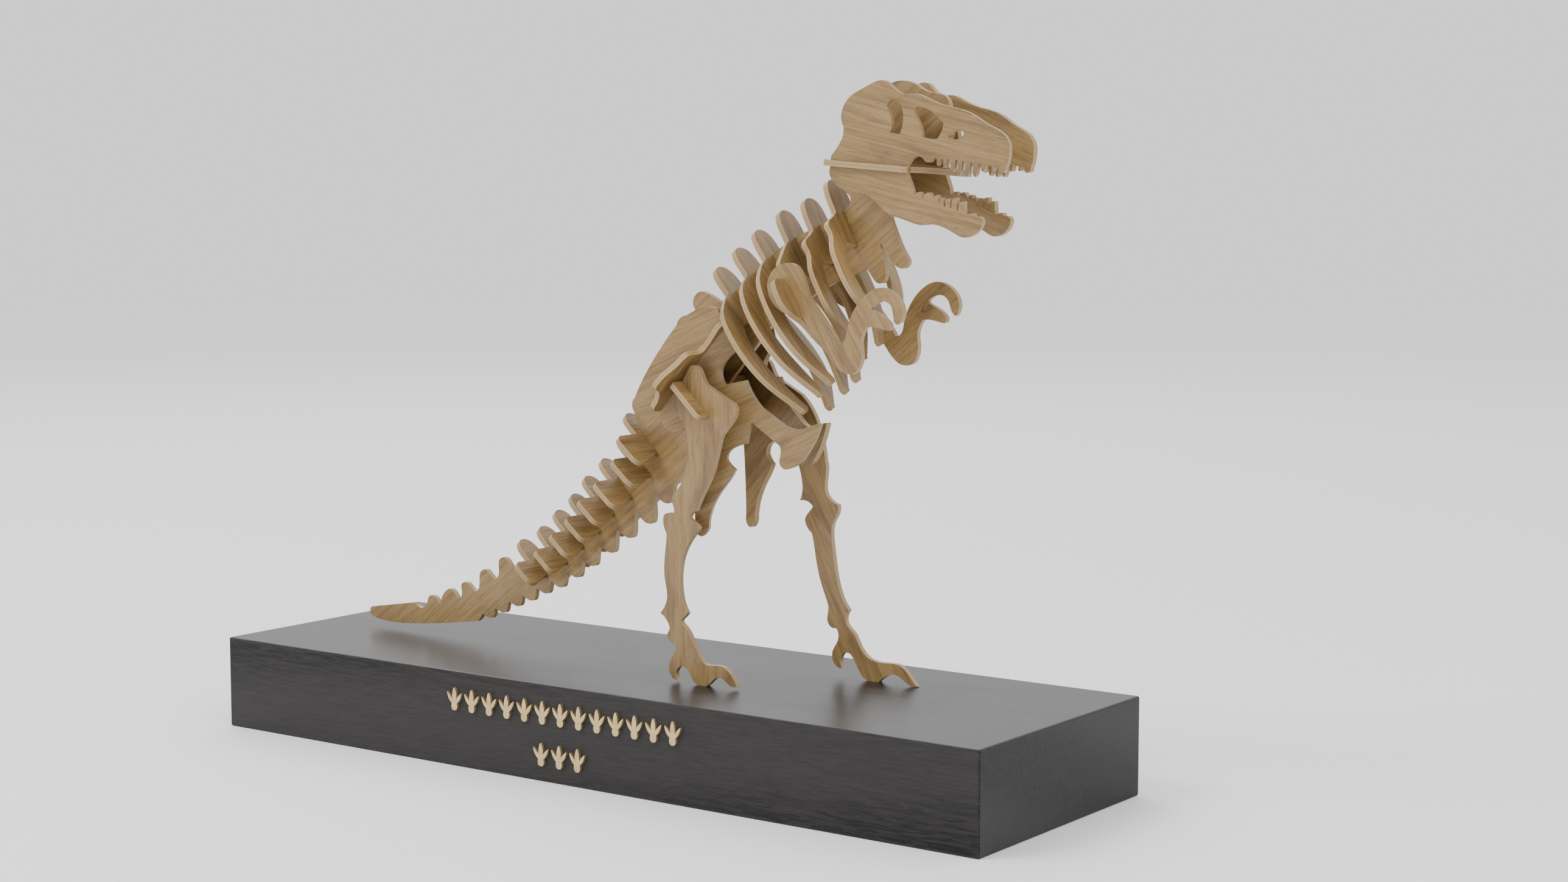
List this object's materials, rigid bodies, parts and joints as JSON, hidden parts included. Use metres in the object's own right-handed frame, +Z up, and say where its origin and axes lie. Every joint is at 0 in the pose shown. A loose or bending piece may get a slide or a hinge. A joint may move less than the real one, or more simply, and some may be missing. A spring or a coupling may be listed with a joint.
{
  "type": "plywood dinosaur skeleton puzzle",
  "caption": "Flat plywood plates slotted together into a striding two-legged dinosaur skeleton that stands on a dark wooden plinth with raised footprints.",
  "frame": {"origin": "middle of the underside of the plinth", "axes": "+X along the plinth towards the head, +Y to the animal's left, +Z up"},
  "size_m": [0.51, 0.1586, 0.3653],
  "materials": {
    "plywood": "sanded bare plywood with paler cut edges",
    "stained_wood": "charcoal stained, satin lacquer, fine grain",
    "gilt_metal": "pale satin gold"
  },
  "bodies": {
    "plinth": {"plinth": "stained_wood", "front_tracks": "gilt_metal"},
    "skeleton": {"spine": "plywood", "saddle": "plywood", "hip_bar": "plywood", "pelvis_right": "plywood", "pelvis_left": "plywood", "leg_right": "plywood", "leg_left": "plywood"},
    "rib_1": {"rib_1": "plywood"},
    "rib_2": {"rib_2": "plywood"},
    "rib_3": {"rib_3": "plywood"},
    "rib_4": {"rib_4": "plywood"},
    "rib_5": {"rib_5": "plywood"},
    "rib_6": {"rib_6": "plywood"},
    "arm_right": {"arm_right": "plywood"},
    "arm_left": {"arm_left": "plywood"},
    "tail_plate_1": {"tail_plate_1": "plywood"},
    "tail_plate_2": {"tail_plate_2": "plywood"},
    "tail_plate_3": {"tail_plate_3": "plywood"},
    "tail_plate_4": {"tail_plate_4": "plywood"},
    "tail_plate_5": {"tail_plate_5": "plywood"},
    "tail_plate_6": {"tail_plate_6": "plywood"},
    "tail_plate_7": {"tail_plate_7": "plywood"},
    "tail_plate_8": {"tail_plate_8": "plywood"},
    "palate": {"palate": "plywood"},
    "skull_right": {"skull_right": "plywood"},
    "skull_left": {"skull_left": "plywood"}
  },
  "joints": [
    {"name": "skeleton_lift", "type": "slide", "parent": "plinth", "child": "skeleton", "axis": [0, 0, 1], "range_m": [0, 0.01]},
    {"name": "rib_1_pull", "type": "slide", "parent": "skeleton", "child": "rib_1", "axis": [-0.454, 0, 0.891], "range_m": [0, 0.026]},
    {"name": "rib_2_pull", "type": "slide", "parent": "skeleton", "child": "rib_2", "axis": [-0.4695, 0, 0.8829], "range_m": [0, 0.026]},
    {"name": "rib_3_pull", "type": "slide", "parent": "skeleton", "child": "rib_3", "axis": [-0.5075, 0, 0.8616], "range_m": [0, 0.026]},
    {"name": "rib_4_pull", "type": "slide", "parent": "skeleton", "child": "rib_4", "axis": [-0.5878, 0, 0.809], "range_m": [0, 0.026]},
    {"name": "rib_5_pull", "type": "slide", "parent": "skeleton", "child": "rib_5", "axis": [-0.6428, 0, 0.766], "range_m": [0, 0.026]},
    {"name": "rib_6_pull", "type": "slide", "parent": "skeleton", "child": "rib_6", "axis": [-0.6691, 0, 0.7431], "range_m": [0, 0.026]},
    {"name": "arm_right_pull", "type": "slide", "parent": "rib_3", "child": "arm_right", "axis": [-0.5075, 0, 0.8616], "range_m": [0, 0.03]},
    {"name": "arm_left_pull", "type": "slide", "parent": "rib_3", "child": "arm_left", "axis": [-0.5075, 0, 0.8616], "range_m": [0, 0.03]},
    {"name": "tail_plate_1_pull", "type": "slide", "parent": "skeleton", "child": "tail_plate_1", "axis": [-0.7314, 0, 0.682], "range_m": [0, 0.014]},
    {"name": "tail_plate_2_pull", "type": "slide", "parent": "skeleton", "child": "tail_plate_2", "axis": [-0.7314, 0, 0.682], "range_m": [0, 0.014]},
    {"name": "tail_plate_3_pull", "type": "slide", "parent": "skeleton", "child": "tail_plate_3", "axis": [-0.7314, 0, 0.682], "range_m": [0, 0.014]},
    {"name": "tail_plate_4_pull", "type": "slide", "parent": "skeleton", "child": "tail_plate_4", "axis": [-0.7314, 0, 0.682], "range_m": [0, 0.014]},
    {"name": "tail_plate_5_pull", "type": "slide", "parent": "skeleton", "child": "tail_plate_5", "axis": [-0.7314, 0, 0.682], "range_m": [0, 0.014]},
    {"name": "tail_plate_6_pull", "type": "slide", "parent": "skeleton", "child": "tail_plate_6", "axis": [-0.7314, 0, 0.682], "range_m": [0, 0.014]},
    {"name": "tail_plate_7_pull", "type": "slide", "parent": "skeleton", "child": "tail_plate_7", "axis": [-0.7314, 0, 0.682], "range_m": [0, 0.014]},
    {"name": "tail_plate_8_pull", "type": "slide", "parent": "skeleton", "child": "tail_plate_8", "axis": [-0.7314, 0, 0.682], "range_m": [0, 0.014]},
    {"name": "palate_pull", "type": "slide", "parent": "skeleton", "child": "palate", "axis": [0.9965, 0, -0.0837], "range_m": [0, 0.028]},
    {"name": "skull_right_pull", "type": "slide", "parent": "palate", "child": "skull_right", "axis": [0.9905, 0.1094, -0.0832], "range_m": [0, 0.03]},
    {"name": "skull_left_pull", "type": "slide", "parent": "palate", "child": "skull_left", "axis": [0.9905, -0.1094, -0.0832], "range_m": [0, 0.03]}
  ]
}
